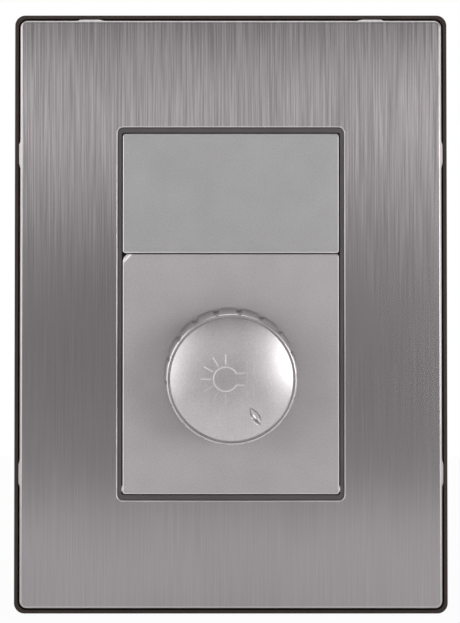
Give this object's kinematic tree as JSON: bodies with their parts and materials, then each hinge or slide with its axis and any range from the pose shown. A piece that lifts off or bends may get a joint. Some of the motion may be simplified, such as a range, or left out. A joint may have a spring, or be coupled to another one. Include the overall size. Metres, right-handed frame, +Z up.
{
  "type": "dimmer switch",
  "caption": "Rotary wall dimmer: brushed metal cover with dark surround, blank module above a silver module with a fluted knob, and a box-mounted case behind.",
  "frame": {"origin": "On the wall plane, at the centre of the plate and of the line between the two box screw holes.", "axes": "+Z up along the long side of the plate, +X to the right seen from the room, -Y out of the wall towards the room; the case goes into the wall box along +Y."},
  "size_m": [0.0868, 0.0594, 0.12],
  "materials": {
    "brushed_cover": "vertically brushed sheet, satin lacquer",
    "black_surround": "fine moulded grain",
    "dark_rim": "smooth moulded",
    "silver_face": "satin silver paint",
    "silver_knob": "satin silver paint",
    "grey_case": "fine moulded grain",
    "bright_steel": "bright plated",
    "brass_clamp": "drawn",
    "aluminium_sink": "mill finish",
    "board_laminate": "phenolic laminate",
    "dark_moulding": "moulded",
    "ferrite": "sintered",
    "copper_wire": "enamelled winding",
    "film_case": "dipped",
    "fuse_glass": "clear tube",
    "resistor_body": "lacquered"
  },
  "bodies": {
    "switch": {"cover_plate": "brushed_cover", "plate_frame": "black_surround", "mounting_frame": "dark_rim", "blank_insert": "silver_face", "dimmer_fascia": "silver_face", "dimmer_case": "grey_case", "control_bushing": "brass_clamp", "bushing_washer": "bright_steel", "bushing_nut": "bright_steel", "control_cup": "bright_steel", "track_wafer": "board_laminate", "control_lugs": "bright_steel", "switch_chamber": "dark_moulding", "circuit_board": "board_laminate", "choke_ring": "ferrite", "choke_winding": "copper_wire", "film_capacitors": "film_case", "heat_sink": "aluminium_sink", "triac": "dark_moulding", "sink_screw": "bright_steel", "fuse": "fuse_glass", "fuse_clips": "bright_steel", "resistors": "resistor_body", "trigger_diode": "fuse_glass", "terminal_block": "dark_moulding", "terminal_clamps": "brass_clamp", "terminal_screws": "bright_steel"},
    "knob": {"knob_grip": "silver_knob", "knob_cap": "silver_knob", "knob_spring": "bright_steel", "control_shaft": "brass_clamp", "wiper": "dark_moulding"}
  },
  "joints": [
    {"name": "knob_turn", "type": "hinge", "parent": "switch", "child": "knob", "pos_m": [0, -0.0177, -0.012], "axis": [0, -1, 0], "range_deg": [0, 300]}
  ]
}
